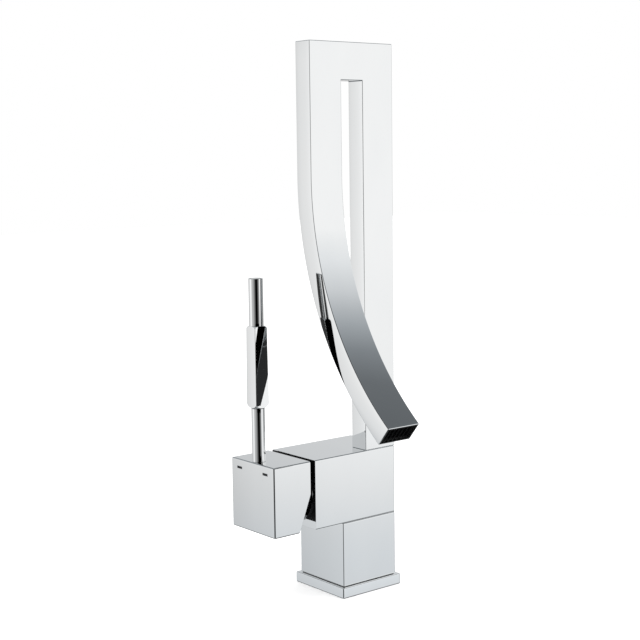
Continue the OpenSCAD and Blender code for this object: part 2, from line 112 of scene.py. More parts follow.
def round_stock(name, low, high, centre, r, axis="Z", sides=96):
    """A cylinder added along an axis between two heights on it, in millimetres."""
    bpy.ops.object.select_all(action="DESELECT")
    turn = {"Z": (0, 0, 0), "X": (0, radians(90), 0), "Y": (radians(90), 0, 0)}[axis]
    middle = (low + high) / 2
    a, b = centre
    place = {"Z": (a, b, middle), "X": (middle, a, b), "Y": (a, middle, b)}[axis]
    bpy.ops.mesh.primitive_cylinder_add(vertices=sides, radius=r * 0.001,
                                        depth=(high - low) * 0.001,
                                        location=mm(*place), rotation=turn)
    return on_the_bench(name)


def on_the_bench(name):
    piece = bpy.context.object
    piece.name = piece.data.name = name
    bpy.ops.object.transform_apply(location=True, rotation=True, scale=True)
    bpy.ops.object.mode_set(mode="EDIT")
    return piece


def draw_out(step):
    """Extrudes the selected faces up by a step in millimetres, or down by a negative one."""
    bpy.ops.mesh.extrude_region_move(TRANSFORM_OT_translate={"value": mm(0, 0, step)})


def inset(width):
    bpy.ops.mesh.inset(thickness=width * 0.001, use_even_offset=True)


def break_edges(width, steps=3, test=None):
    """Rounds the sharp edges that a polisher would break, all of them or those of a test."""
    pick("edges", test or (lambda e: len(e.link_faces) == 2 and e.calc_face_angle() > sharp))
    bpy.ops.mesh.bevel(offset=width * 0.001, segments=steps, affect="EDGES", profile=0.5)


def off_the_bench():
    bpy.ops.object.mode_set(mode="OBJECT")
    return bpy.context.object


def work(piece, operation, tools):
    """Cuts, joins or keeps a piece by each tool in turn, and throws the tools away."""
    for tool in tools:
        change = piece.modifiers.new(tool.name, "BOOLEAN")
        change.operation = operation
        change.solver = "EXACT"
        change.object = tool
        bpy.ops.object.select_all(action="DESELECT")
        bpy.context.view_layer.objects.active = piece
        piece.select_set(True)
        bpy.ops.object.modifier_apply(modifier=change.name)
        bpy.data.objects.remove(tool)


def clean_faces(piece):
    """Merges doubles, and smooths the shading over rounds but not over flats."""
    bpy.ops.object.select_all(action="DESELECT")
    bpy.context.view_layer.objects.active = piece
    piece.select_set(True)
    bpy.ops.object.mode_set(mode="EDIT")
    bpy.ops.mesh.select_all(action="SELECT")
    bpy.ops.mesh.remove_doubles(threshold=0.000001)
    bpy.ops.mesh.normals_make_consistent(inside=False)
    bpy.ops.object.mode_set(mode="OBJECT")
    bpy.ops.object.shade_smooth_by_angle(angle=radians(32))
    even = piece.modifiers.new("even", "WEIGHTED_NORMAL")
    even.keep_sharp = True
    bpy.ops.object.modifier_apply(modifier=even.name)


def new_finish(name, colour, metallic, roughness):
    """A material with its shader, and the place on the piece as a vector."""
    finish = bpy.data.materials.new(name)
    finish.use_nodes = True
    shader = finish.node_tree.nodes["Principled BSDF"]
    shader.inputs["Base Color"].default_value = (*colour, 1)
    shader.inputs["Metallic"].default_value = metallic
    shader.inputs["Roughness"].default_value = roughness
    place = finish.node_tree.nodes.new("ShaderNodeTexCoord")
    return finish, shader, place.outputs["Object"]


def effect(name, numbers, results):
    """A node group with a place and named numbers going in, and named results coming out."""
    group = bpy.data.node_groups.new(name, "ShaderNodeTree")
    group.interface.new_socket("Place", in_out="INPUT", socket_type="NodeSocketVector")
    for label, value in numbers.items():
        socket = group.interface.new_socket(label, in_out="INPUT", socket_type="NodeSocketFloat")
        socket.default_value = value
    for label in results:
        group.interface.new_socket(label, in_out="OUTPUT", socket_type="NodeSocketFloat")
    return group, group.nodes.new("NodeGroupInput").outputs, group.nodes.new("NodeGroupOutput").inputs


def plug(tree, step, terms):
    """Puts sockets or numbers in a node's inputs in their order, and gives its first output."""
    for slot_in, term in zip(step.inputs, terms):
        if hasattr(term, "is_output"):
            tree.links.new(term, slot_in)
        else:
            slot_in.default_value = term
    return step.outputs[0]


def sums(tree, operation, *terms):
    """A Math node on sockets or numbers."""
    step = tree.nodes.new("ShaderNodeMath")
    step.operation = operation
    return plug(tree, step, terms)


def spread(tree, value, low, high, to_low, to_high):
    """A Map Range node between two plain ranges."""
    return plug(tree, tree.nodes.new("ShaderNodeMapRange"), (value, low, high, to_low, to_high))


def grain(tree, place, size, detail, stretch=(1, 1, 1)):
    """Noise of a size in millimetres on the piece, stretched by shares along the axes."""
    map_node = tree.nodes.new("ShaderNodeMapping")
    map_node.inputs["Scale"].default_value = stretch
    tree.links.new(place, map_node.inputs["Vector"])
    noise = tree.nodes.new("ShaderNodeTexNoise")
    noise.inputs["Scale"].default_value = 1000 / size
    noise.inputs["Detail"].default_value = detail
    tree.links.new(map_node.outputs[0], noise.inputs["Vector"])
    return noise.outputs["Fac"]


# Buffed plate: slow waves of the buffing wheel, wiped streaks and faint hairlines
buffed, going_in, coming_out = effect(
    "buffed_plate", {"Smooth": 0.03, "Wiped": 0.02, "Hairline": 0.012}, ("Roughness", "Height", "Haze"))
wiped = grain(buffed, going_in["Place"], 26, 3, (1, 1, 0.45))
hairs = grain(buffed, going_in["Place"], 0.9, 2, (1, 1, 0.04))
waves = grain(buffed, going_in["Place"], 18, 1)
haze = spread(buffed, wiped, 0.42, 0.72, 0, 1)
hair = spread(buffed, hairs, 0.62, 0.8, 0, 1)
rough = sums(buffed, "MULTIPLY_ADD", haze, going_in["Wiped"], going_in["Smooth"])
rough = sums(buffed, "MULTIPLY_ADD", hair, going_in["Hairline"], rough)
buffed.links.new(rough, coming_out["Roughness"])
buffed.links.new(sums(buffed, "MULTIPLY_ADD", hair, -0.04, waves), coming_out["Height"])
buffed.links.new(haze, coming_out["Haze"])


def use_effect(finish, shader, place, group, numbers, colours, relief, crown=None):
    """Puts an effect in a finish: its roughness, its mask between two colours, and its height,
    as relief in metres, over the crown of the piece's faces."""
    tree = finish.node_tree
    box = tree.nodes.new("ShaderNodeGroup")
    box.node_tree = group
    tree.links.new(place, box.inputs["Place"])
    for label, value in numbers.items():
        box.inputs[label].default_value = value
    tree.links.new(box.outputs["Roughness"], shader.inputs["Roughness"])
    raised = tree.nodes.new("ShaderNodeBump")
    raised.inputs["Strength"].default_value = raised.inputs["Distance"].default_value = 1
    skin = sums(tree, "MULTIPLY", box.outputs["Height"], relief)
    if crown:
        skin = sums(tree, "ADD", skin, crown(tree, place))
    tree.links.new(skin, raised.inputs["Height"])
    tree.links.new(raised.outputs["Normal"], shader.inputs["Normal"])
    blend = tree.nodes.new("ShaderNodeMix")
    blend.data_type = "RGBA"
    blend.inputs["A"].default_value = (*colours[0], 1)
    blend.inputs["B"].default_value = (*colours[1], 1)
    tree.links.new(box.outputs[2], blend.inputs["Factor"])
    tree.links.new(blend.outputs["Result"], shader.inputs["Base Color"])
    return finish


def chrome(name, crown=None, bright=1.0):
    """Bright chrome plate over a buffed piece; bright scales its colours, painted light above 1 and painted
    shade below 1.
    """
    clear, hazy = (0.862, 0.872, 0.874), (0.845, 0.856, 0.86)
    return use_effect(*new_finish(name, clear, 1, 0.03), buffed,
                      {"Smooth": 0.016, "Wiped": 0.014, "Hairline": 0.01},
                      ([bright * c for c in clear], [bright * c for c in hazy]), 0.000003, crown)


# Flats that a buffing wheel leaves a little high in the middle of the piece
crowned, going_in, coming_out = effect(
    "crowned_flats", {"Tilt": 0.03, "Middle X": 0, "Middle Y": 0, "Half X": 1, "Half Y": 1}, ("Height",))
across = crowned.nodes.new("ShaderNodeSeparateXYZ")
crowned.links.new(going_in["Place"], across.inputs[0])
facing_out = crowned.nodes.new("ShaderNodeSeparateXYZ")
crowned.links.new(crowned.nodes.new("ShaderNodeTexCoord").outputs["Normal"], facing_out.inputs[0])
upright = sums(crowned, "LESS_THAN", sums(crowned, "ABSOLUTE", facing_out.outputs["Z"]), 0.9)
fall = 0
for axis in "XY":
    off = sums(crowned, "SUBTRACT", across.outputs[axis], going_in["Middle " + axis])
    drop = sums(crowned, "DIVIDE", sums(crowned, "MULTIPLY", off, off), going_in["Half " + axis])
    fall = sums(crowned, "ADD", drop, fall)
fall = sums(crowned, "MULTIPLY", sums(crowned, "MULTIPLY", fall, going_in["Tilt"]), upright)
crowned.links.new(sums(crowned, "MULTIPLY", fall, -0.5), coming_out["Height"])


def flats(x, y, half_x, half_y, tilt=0.038):
    """The crown of an upright block's flats, from its middle and half sides in millimetres."""
    def crown(tree, place):
        box = tree.nodes.new("ShaderNodeGroup")
        box.node_tree = crowned
        tree.links.new(place, box.inputs["Place"])
        for label, value in (("Tilt", tilt), ("Middle X", x * 0.001), ("Middle Y", y * 0.001),
                             ("Half X", half_x * 0.001), ("Half Y", half_y * 0.001)):
            box.inputs[label].default_value = value
        return box.outputs["Height"]
    return crown


# The flange's plate colour is raised by 9 per cent: painted light.
flange_chrome = chrome("flange_chrome", flats(0, 0, flange_w / 2, flange_w / 2, 0.02), 1.09)


def fit(piece, finish, slot_name, body, *stands_for):
    """Gives a new piece its finish, its body and the nodes it stands for; the slot name is not used."""
    clean_faces(piece)
    piece.data.materials.clear()
    piece.data.materials.append(finish)
    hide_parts(*stands_for)
    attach(piece, body)


def dress(finish, *names):
    """Gives the frame's own nodes a finish."""
    for name in names:
        for place_held in nodes[name].material_slots:
            place_held.material = finish


def over_window(face):
    """Test for the level faces, above and below, that a window is to be cut between."""
    return abs(face.normal.z) > square_on and face.calc_center_median().xy.length < 0.001


flange = bar_stock("flange_plate", (-flange_w / 2, -flange_w / 2, 0), (flange_w / 2, flange_w / 2, flange_h))
pick("faces", facing(-1))
for land in (groove_from, groove_w, window_from - groove_from - groove_w):
    inset(land)
pick("faces", facing(1))
inset(window_from)
pick("faces", over_window)
bpy.ops.mesh.bridge_edge_loops()
groove_at = flange_w / 2 - groove_from - groove_w / 2
pick("faces", lambda f: f.normal.z < -square_on
     and abs(max(map(abs, f.calc_center_median().xy)) - groove_at * 0.001) < groove_w / 2 * 0.001)
draw_out(groove_deep)
break_edges(flange_corner_r, 5, long_corners(flange_h - 1, flange_w / 2 - 1))


def on_foot(edge):
    """Test for the edges round the flange's underside."""
    outside = (flange_w / 2 - 0.4) * 0.001
    return all(v.co.z < close and max(map(abs, v.co.xy)) > outside for v in edge.verts)


break_edges(flange_edge_r, 3, lambda e: e.calc_face_angle() > sharp and not on_foot(e))
break_edges(flange_foot_r, 5, lambda e: e.calc_face_angle() > sharp and on_foot(e))
flange = off_the_bench()
fit(flange, flange_chrome, "chrome", "root", "base_flange")

# Rubber, moulded or die-cut: matt black with a fine dusty bloom
moulded, going_in, coming_out = effect(
    "moulded_skin", {"Smooth": 0.5, "Dull": 0.2}, ("Roughness", "Height", "Bloom"))
fine = grain(moulded, going_in["Place"], 0.35, 4)
cloud = grain(moulded, going_in["Place"], 7, 3)
moulded.links.new(sums(moulded, "MULTIPLY_ADD", cloud, going_in["Dull"], going_in["Smooth"]),
                  coming_out["Roughness"])
moulded.links.new(fine, coming_out["Height"])
moulded.links.new(spread(moulded, cloud, 0.35, 0.7, 0, 1), coming_out["Bloom"])

rubber = use_effect(*new_finish("black_rubber", (0.02, 0.02, 0.02), 0, 0.7), moulded,
                    {"Smooth": 0.55, "Dull": 0.25},
                    ((0.016, 0.016, 0.017), (0.035, 0.035, 0.036)), 0.00003)
dress(rubber, "base_gasket")

# Column
# A length of square brass tube, drawn and chrome plated. Its foot is turned back
# by a thin step, which shows as a dark line above the flange, deepened by painted shade.
bar_w, bar_wall, column_top = 45, 3.5, 49.5
half = bar_w / 2
step_in, step_h = 0.8, 0.45
column_corner_r, column_top_r, step_r = 0.7, 0.9, 0.1
column = bar_stock("column_tube", (-half, -half, flange_h + step_h), (half, half, column_top))
pick("faces", facing(-1))
inset(step_in)
draw_out(-step_h)
inset(bar_wall - step_in)
pick("faces", facing(1))
inset(bar_wall)
pick("faces", over_window)
bpy.ops.mesh.bridge_edge_loops()
top_end, foot_end = (column_top - 0.5) * 0.001, (flange_h + 1) * 0.001
break_edges(column_corner_r, 4, long_corners(30, half - 0.5))
break_edges(column_top_r, 5, lambda e: e.calc_face_angle() > sharp and min(v.co.z for v in e.verts) > top_end)
break_edges(step_r, 2, lambda e: e.calc_face_angle() > sharp and max(v.co.z for v in e.verts) < foot_end)
column = off_the_bench()


def painted_shade_inside(finish, low, high):
    """Thin, dull plating where no buffing wheel reaches, between two corners in millimetres: rougher, with a
    near-black colour that is painted shade of the recess.
    """
    tree = finish.node_tree
    shader = tree.nodes["Principled BSDF"]
    at = tree.nodes.new("ShaderNodeSeparateXYZ")
    tree.links.new(tree.nodes.new("ShaderNodeTexCoord").outputs["Object"], at.inputs[0])
    inside = 1
    for axis, a, b in zip("XYZ", low, high):
        within = sums(tree, "COMPARE", at.outputs[axis], (a + b) / 2000, (b - a) / 2000)
        inside = sums(tree, "MULTIPLY", within, inside)
    buffed_rough = shader.inputs["Roughness"].links[0].from_socket
    tree.links.new(sums(tree, "MULTIPLY_ADD", inside, 0.4, buffed_rough), shader.inputs["Roughness"])
    # The near-black colour is painted shade, for recesses and gaps where shade falls.
    blend = tree.nodes.new("ShaderNodeMix")
    blend.data_type = "RGBA"
    blend.inputs["B"].default_value = (0.035, 0.035, 0.037, 1)
    tree.links.new(shader.inputs["Base Color"].links[0].from_socket, blend.inputs["A"])
    tree.links.new(inside, blend.inputs["Factor"])
    tree.links.new(blend.outputs["Result"], shader.inputs["Base Color"])
    return finish


# Painted shade: the step's recess is plated near-black.
recess = half - step_in / 2
column_chrome = painted_shade_inside(
    chrome("column_chrome", flats(0, 0, half, half)),
    (-recess, -recess, flange_h - 0.1), (recess, recess, flange_h + step_h - 0.07))
fit(column, column_chrome, "chrome", "root", "column_shell")

# Foot, tie screws, inlet pipes and their seals
# A milled brass foot takes the deck stud and the two hoses. Four steel screws tie
# foot, column and block together, and two thin tubes lead up between them.
machined, going_in, coming_out = effect(
    "machined_metal", {"Smooth": 0.25, "Dull": 0.15, "Across": 1.0}, ("Roughness", "Height", "Tarnish"))
lines = grain(machined, going_in["Place"], 0.5, 2, (0.12, 1, 1))
spots = grain(machined, going_in["Place"], 9, 4)
machined.links.new(sums(machined, "MULTIPLY_ADD", spots, going_in["Dull"], going_in["Smooth"]),
                   coming_out["Roughness"])
machined.links.new(sums(machined, "MULTIPLY", lines, going_in["Across"]), coming_out["Height"])
machined.links.new(spread(machined, spots, 0.4, 0.75, 0, 1), coming_out["Tarnish"])

brass = use_effect(*new_finish("machined_brass", (0.75, 0.55, 0.28), 1, 0.3), machined,
                   {"Smooth": 0.2, "Dull": 0.2}, ((0.78, 0.58, 0.3), (0.62, 0.43, 0.2)),
                   0.00001)
steel = use_effect(*new_finish("turned_steel", (0.6, 0.6, 0.61), 1, 0.3), machined,
                   {"Smooth": 0.18, "Dull": 0.15}, ((0.62, 0.62, 0.63), (0.5, 0.5, 0.51)),
                   0.00001)
dress(brass, "column_foot", "hot_pipe", "cold_pipe")
dress(steel, "tie_screws")
dress(rubber, "pipe_seals")

# Valve block
# A brass block bored from its left end for the cartridge and the clamping nut,
# drilled from below for the inlets and from above for the spout, then plated.
block_left, block_top = -45, column_top + bar_w
block_edge_r, end_r = 0.85, 0.15
axis_z = 72
seat_x, seat_r = -3, 17.6
nut_x, nut_r = -37, 19.4
port_off, port_r, way_r, side_way_r = 8.5, 3, 2.9, 2.85
port_y, port_z = port_off * cos(radians(30)), axis_z - port_off * sin(radians(30))
inlet_x, pipe_top, pipe_r = 6, 57.5, 4.1
mixed_x, mixed_z = 10, axis_z + port_off
tube_y = -15.5
thread_from, thread_r = 86.4, 4.02
dowels, dowel_from, dowel_r = (0.7, 19.3), 89.5, 1.52
screw_off, screw_r = 14, 2.02
over, skin = 1, 0.3
block = bar_stock("valve_block", (block_left, -half, column_top), (half, half, block_top))
left_end = (block_left + 1) * 0.001
break_edges(block_edge_r, 4,
            lambda e: e.calc_face_angle() > sharp and max(v.co.x for v in e.verts) > left_end)
break_edges(end_r, 2, lambda e: e.calc_face_angle() > sharp and max(v.co.x for v in e.verts) < left_end)
block = off_the_bench()


def drill(low, high, centre, r, axis="Z", sides=48):
    """A round cutter, out of edit mode."""
    round_stock("cutter", low, high, centre, r, axis, sides)
    return off_the_bench()


bores = [drill(block_left - over, seat_x, (0, axis_z), seat_r, "X", 96),
         drill(block_left - over, nut_x, (0, axis_z), nut_r, "X", 96)]
for y in (-port_y, port_y):
    bores += [drill(column_top - over, pipe_top, (inlet_x, y), pipe_r),
              drill(pipe_top - 0.5, port_z + 0.6, (inlet_x, y), way_r),
              drill(seat_x - over, inlet_x + 2.8, (y, port_z), port_r, "X")]
bores += [drill(seat_x - over, mixed_x + 2.5, (0, mixed_z), way_r, "X"),
          drill(tube_y + 0.1, 2.4, (mixed_x, mixed_z), side_way_r, "Y"),
          drill(mixed_z - 2.6, block_top + over, (mixed_x, tube_y), way_r),
          drill(thread_from, block_top + over, (mixed_x, tube_y), thread_r)]
bores += [drill(dowel_from, block_top + over, (x, tube_y), dowel_r, sides=24) for x in dowels]
bores += [drill(column_top - over, pipe_top, (x, y), screw_r, sides=24)
          for x in (-screw_off, screw_off) for y in (-screw_off, screw_off)]
work(block, "DIFFERENCE", bores)
# Painted shade: the bores and the block's left end face, in the gap under the cap, are plated near-black.
block_chrome = painted_shade_inside(
    chrome("block_chrome", flats((block_left + half) / 2, 0, (half - block_left) / 2, half)),
    (block_left + 0.1, -half + skin, column_top + skin), (seat_x, half - skin, block_top - skin))
block_chrome = painted_shade_inside(block_chrome, (block_left - 0.2, -half + skin, column_top + 5.2),
                           (block_left + 0.1, half - skin, block_top - skin))
fit(block, block_chrome, "chrome", "root", "valve_body")

# Cartridge
# A bought-in ceramic disc cartridge: a moulded base and housing, a fixed disc of
# white ceramic, round seals at the ports and a thin slippery washer.
ceramic = use_effect(*new_finish("white_ceramic", (0.88, 0.87, 0.84), 0, 0.2), moulded,
                     {"Smooth": 0.12, "Dull": 0.1}, ((0.89, 0.88, 0.85), (0.83, 0.82, 0.79)),
                     0.000004)
grey_plastic = use_effect(*new_finish("grey_moulding", (0.16, 0.16, 0.17), 0, 0.4), moulded,
                          {"Smooth": 0.3, "Dull": 0.2}, ((0.15, 0.15, 0.16), (0.19, 0.19, 0.2)),
                          0.00002)
white_plastic = use_effect(*new_finish("natural_moulding", (0.8, 0.79, 0.75), 0, 0.4), moulded,
                           {"Smooth": 0.3, "Dull": 0.15}, ((0.81, 0.8, 0.76), (0.75, 0.74, 0.7)),
                           0.00001)
dress(grey_plastic, "cartridge_base", "cartridge_housing")
dress(ceramic, "fixed_disc")
dress(rubber, "base_seals", "disc_seals")
dress(white_plastic, "thrust_washer")

# Clamping nut and bonnet ring
# The nut is turned brass with four key notches. A thin plated ring snaps over it
# and shows in the gap under the cap.
dress(brass, "cartridge_nut")
# The ring's chrome is a copy at 0.8 of the plate colour: painted shade of the gap under the cap.
shaded_ring_chrome = chrome("shaded_ring_chrome", None, 0.8)
dress(shaded_ring_chrome, "bonnet_ring")

# Spout
# Flat brass tube, mitred and brazed into one loop and bent at its left leg, then
# ground flush, polished and plated as one piece. It stays hollow for the water.
leg_w, tube_t, tube_wall, spout_edge_r = 25, 14, 2, 0.5
left_leg, right_leg = block_left + leg_w, half - leg_w
spout_top, slot_top = 355.5, 332
bend, bend_r, bend_z = 50.4, 199, 273
bend_centre = (0, tube_y - bend_r, bend_z)
insert_in, insert_l, insert_room, mouth_wall = 1.6, 9, 0.1, 1.3
mid_tilt, edge_tilt = 0.04, 0.03


def ribbon_loop(name, wall, foot_z, slot_z, past=0):
    """The loop, or its water way where wall is more than nothing: crown first, then both legs."""
    loop = bar_stock(name, (block_left + wall, -half + wall, slot_z),
                     (half - wall, -half + tube_t - wall, spout_top - wall))
    left_side, right_side = left_leg - wall, right_leg + wall
    for x in (left_side, right_side):
        bpy.ops.mesh.select_all(action="SELECT")
        bpy.ops.mesh.bisect(plane_co=mm(x, 0, 0), plane_no=(1, 0, 0))
    pick("faces", lambda f: f.normal.z < -square_on and f.calc_center_median().x > right_side * 0.001)
    draw_out(foot_z - slot_z)
    pick("faces", lambda f: f.normal.z < -square_on and f.calc_center_median().x < left_side * 0.001)
    draw_out(bend_z - slot_z)
    bpy.ops.mesh.spin(steps=72, angle=radians(bend + past), center=mm(*bend_centre), axis=(1, 0, 0))
    bpy.ops.mesh.select_all(action="SELECT")
    bpy.ops.mesh.remove_doubles(threshold=0.000001)
    bpy.ops.mesh.dissolve_limited(angle_limit=radians(0.2))
    bpy.ops.mesh.select_all(action="SELECT")
    bpy.ops.mesh.normals_make_consistent(inside=False)
    return loop


spout = ribbon_loop("spout_loop", 0, block_top, slot_top)
break_edges(spout_edge_r)
spout = off_the_bench()
ribbon_loop("cutter", tube_wall, block_top + 5, slot_top + tube_wall, 1)
water_way = off_the_bench()
bar_stock("cutter", (block_left + mouth_wall, -half + mouth_wall, bend_z),
          (left_leg - mouth_wall, -half + tube_t - mouth_wall, bend_z + 2))
pick("faces", facing(-1))
bpy.ops.mesh.spin(steps=72, angle=radians(bend + 1), center=mm(*bend_centre), axis=(1, 0, 0))
bpy.ops.mesh.select_all(action="SELECT")
bpy.ops.mesh.remove_doubles(threshold=0.000001)
bpy.ops.mesh.select_all(action="SELECT")
mouth_at = radians(bend) - (insert_in + insert_l + insert_room) / bend_r
bpy.ops.mesh.bisect(plane_co=mm(*bend_centre), plane_no=(0, -sin(mouth_at), -cos(mouth_at)),
                    use_fill=True, clear_inner=True)
bpy.ops.mesh.select_all(action="SELECT")
bpy.ops.mesh.normals_make_consistent(inside=False)
mouth = off_the_bench()
work(spout, "DIFFERENCE", [water_way, mouth,
                           drill(block_top - over, block_top + 5.5, (mixed_x, tube_y), thread_r)]
     + [drill(block_top - over, block_top + 3.5, (x, tube_y), dowel_r, sides=24) for x in dowels])


def ribbon_sides(tree, place):
    """The crown of the tube's narrow sides, which follows the bend."""
    at = tree.nodes.new("ShaderNodeSeparateXYZ")
    tree.links.new(place, at.inputs[0])
    level = sums(tree, "SUBTRACT", at.outputs["Y"], bend_centre[1] * 0.001)
    below = sums(tree, "MINIMUM", sums(tree, "SUBTRACT", at.outputs["Z"], bend_z * 0.001), 0)
    on_left_leg = sums(tree, "LESS_THAN", at.outputs["X"], (left_leg + right_leg) / 2 * 0.001)
    below = sums(tree, "MULTIPLY", below, on_left_leg)
    reach = sums(tree, "SQRT", sums(tree, "ADD", sums(tree, "MULTIPLY", level, level),
                                    sums(tree, "MULTIPLY", below, below)))
    off = sums(tree, "SUBTRACT", reach, bend_r * 0.001)
    square = sums(tree, "MULTIPLY", off, off)
    half_t = tube_t / 2 * 0.001
    steeper = sums(tree, "MULTIPLY_ADD", square, -edge_tilt / 4 / half_t ** 3, -mid_tilt / 2 / half_t)
    return sums(tree, "MULTIPLY", square, steeper)


fit(spout, chrome("spout_chrome", ribbon_sides), "chrome", "root",
    "spout_riser", "spout_crown", "spout_ribbon")
dress(brass, "spout_nipple")
dress(rubber, "spout_seal")
dress(steel, "spout_dowels")

# Flow insert
# A black moulding with six slits, pushed up into the thin mouth of the ribbon.
# Its colour, darker than black plastic, and its weak sheen are painted shade of the mouth over the moulding's
# own black.
shaded_black_plastic = use_effect(*new_finish("shaded_black_moulding", (0.004, 0.004, 0.005), 0, 0.5), moulded,
                           {"Smooth": 0.6, "Dull": 0.15},
                           ((0.002, 0.002, 0.0025), (0.004, 0.004, 0.0045)), 0.00001)
shaded_black_plastic.node_tree.nodes["Principled BSDF"].inputs["Specular IOR Level"].default_value = 0.1
dress(shaded_black_plastic, "flow_insert")

# Turret, stem, pin and moving disc
# The stem is milled brass with a ball end. It tilts on a steel pin in a moulded
# turret, and its ball pushes the carrier of the upper disc.
dress(white_plastic, "stem_turret")
dress(steel, "pivot_pin")
dress(brass, "stem")
dress(ceramic, "moving_disc")
dress(grey_plastic, "disc_carrier")

# Cap
# A plated brass cube, hollowed from the block's side, with a socket for the stem.
# Its lower edge is cut back at a slant to clear the column as the lever tilts.
cap_out, cap_in, cap_wall = -77.8, -48.8, 3.5
cap_edge_r, rim_r, slight = 1, 0.15, 0.2
slant_from, slant_down, slant_back = 73.5, 24, 9.3
hollow_x, hollow_y = -66, half - cap_wall
hollow_low, hollow_high = column_top + cap_wall, block_top - cap_wall
boss_in, boss_half, socket_half = -53, 9, 4.1
lever_at, stud_from, grub_x, tapped_r = (-72.3, 0), 82, -62.1, 2.52
dash_y, dash_z, dash_w, dash_h, dash_deep = 13.5, 89.1, 5.2, 1.6, 0.4
cap = bar_stock("lever_cap", (cap_out, -half, column_top), (cap_in, half, block_top))
gap_side = mm(cap_in, 0, slant_from)
bpy.ops.mesh.select_all(action="SELECT")
bpy.ops.mesh.bisect(plane_co=gap_side, plane_no=Vector((slant_down, 0, -slant_back)).normalized(),
                    use_fill=True, clear_outer=True)


def on_gap(edge):
    """Test for the cap's edges next to the block, on its upright and slanted faces."""
    return all(v.co.x > gap_side.x - close or v.co.z < gap_side.z
               and abs((v.co.x - gap_side.x) * slant_down - (v.co.z - gap_side.z) * slant_back) < 0.0001
               for v in edge.verts)


break_edges(cap_edge_r, 4, lambda e: e.calc_face_angle() > slight and not on_gap(e))
break_edges(rim_r, 2, lambda e: e.calc_face_angle() > slight and on_gap(e))
cap = off_the_bench()


def mill(low, high):
    """A square cutter, out of edit mode."""
    bar_stock("cutter", low, high)
    return off_the_bench()


work(cap, "DIFFERENCE", [mill((hollow_x, -hollow_y, hollow_low), (cap_in + over, hollow_y, hollow_high))])
work(cap, "UNION", [mill((hollow_x - 1, -boss_half, axis_z - boss_half),
                         (boss_in, boss_half, axis_z + boss_half))])
work(cap, "DIFFERENCE", [mill((hollow_x, -socket_half, axis_z - socket_half),
                              (cap_in + over, socket_half, axis_z + socket_half)),
                         drill(column_top - over, axis_z, (grub_x, 0), tapped_r),
                         drill(stud_from, block_top + over, lever_at, tapped_r)]
     + [mill((cap_out - over, y - dash_w / 2, dash_z - dash_h / 2),
             (cap_out + dash_deep, y + dash_w / 2, dash_z + dash_h / 2)) for y in (-dash_y, dash_y)])
# Painted shade: the cap's hollow and its face at the gap are plated near-black.
cap_chrome = painted_shade_inside(
    chrome("cap_chrome", flats((cap_out + cap_in) / 2, 0, (cap_in - cap_out) / 2, half)),
    (hollow_x - 0.2, -hollow_y - 0.2, hollow_low - 0.2), (cap_in + over, hollow_y + 0.2, hollow_high + 0.2))
cap_chrome = painted_shade_inside(cap_chrome, (cap_in - 0.2, -half + skin, slant_from + 0.5),
                         (cap_in + 0.2, half - skin, block_top - skin))
fit(cap, cap_chrome, "chrome", "handle", "handle_cap")
dress(steel, "grub_screw", "lever_stud")
# The grub plug under the cap takes the same darker chrome, painted shade.
dress(shaded_ring_chrome, "grub_plug")

# Lever
# Three turned and milled lengths of brass on one axis, screwed together and
# plated: a round rod, a square grip with lathe-rounded ends, and a round rod.
lower_r, upper_r, joint_r = 4.3, 4.65, 2.5
grip_foot, grip_top, lever_top = 128.6, 180.8, 210.6
joint, joint_room, stud_deep = 8, 0.5, 12.5
lower_foot_r, upper_top_r, grip_corner_r = 0.25, 0.5, 0.3
lower = round_stock("lever_lower_rod", block_top, grip_foot, lever_at, lower_r)
pick("faces", facing(1))
inset(lower_r - joint_r)
draw_out(joint)
pick("faces", facing(-1))
inset(lower_r - tapped_r)
draw_out(stud_deep)


def on_lower_foot(edge):
    """Test for the edges round the outside of the lower rod's foot."""
    centre = mm(*lever_at)
    return edge.calc_face_angle() > sharp and all(
        abs(v.co.z - block_top * 0.001) < 0.0001 and (v.co.xy - centre).length > 0.004 for v in edge.verts)


break_edges(lower_foot_r, 2, on_lower_foot)
lower = off_the_bench()
lever_chrome = chrome("lever_chrome")
fit(lower, lever_chrome, "chrome", "handle", "lever_rod_lower")

upper = round_stock("lever_upper_rod", grip_top, lever_top, lever_at, upper_r)
pick("faces", facing(-1))
inset(upper_r - joint_r)
draw_out(-joint)
break_edges(upper_top_r, 3, lambda e: min(v.co.z for v in e.verts) > (lever_top - 0.1) * 0.001)
upper = off_the_bench()
fit(upper, lever_chrome, "chrome", "handle", "lever_rod_upper")


def taper(share):
    """Draws the top face in to a share of its width, round the lever's axis."""
    pick("faces", facing(1))
    bpy.ops.transform.resize(value=(share, share, 1), center_override=mm(*lever_at, grip_top))


foot_w, head_w, corner_over = 10.2, 9.4, 0.15
grip = bar_stock("lever_grip_bar", (lever_at[0] - foot_w / 2, -foot_w / 2, grip_foot),
                 (lever_at[0] + foot_w / 2, foot_w / 2, grip_top))
taper(head_w / foot_w)
break_edges(grip_corner_r, 3, long_corners(40))
grip = off_the_bench()
turned_r = foot_w / sqrt(2) + corner_over
lathe = round_stock("lathe", grip_foot, grip_top, lever_at, turned_r, sides=128)
taper((head_w / sqrt(2) + corner_over) / turned_r)
for level, rounding in ((grip_foot, 4.5), (grip_top, 2.5)):
    break_edges(rounding, 14, lambda e: all(abs(v.co.z - level * 0.001) < close for v in e.verts))
lathe = off_the_bench()
work(grip, "INTERSECT", [lathe])
work(grip, "DIFFERENCE", [drill(grip_foot - over, grip_foot + joint + joint_room, lever_at, tapped_r),
                          drill(grip_top - joint - joint_room, grip_top + over, lever_at, tapped_r)])
# The grip's plate colour is raised by 4 per cent: painted light.
fit(grip, chrome("grip_chrome", flats(*lever_at, 5, 5, 0.045), 1.04), "chrome", "handle", "lever_grip")

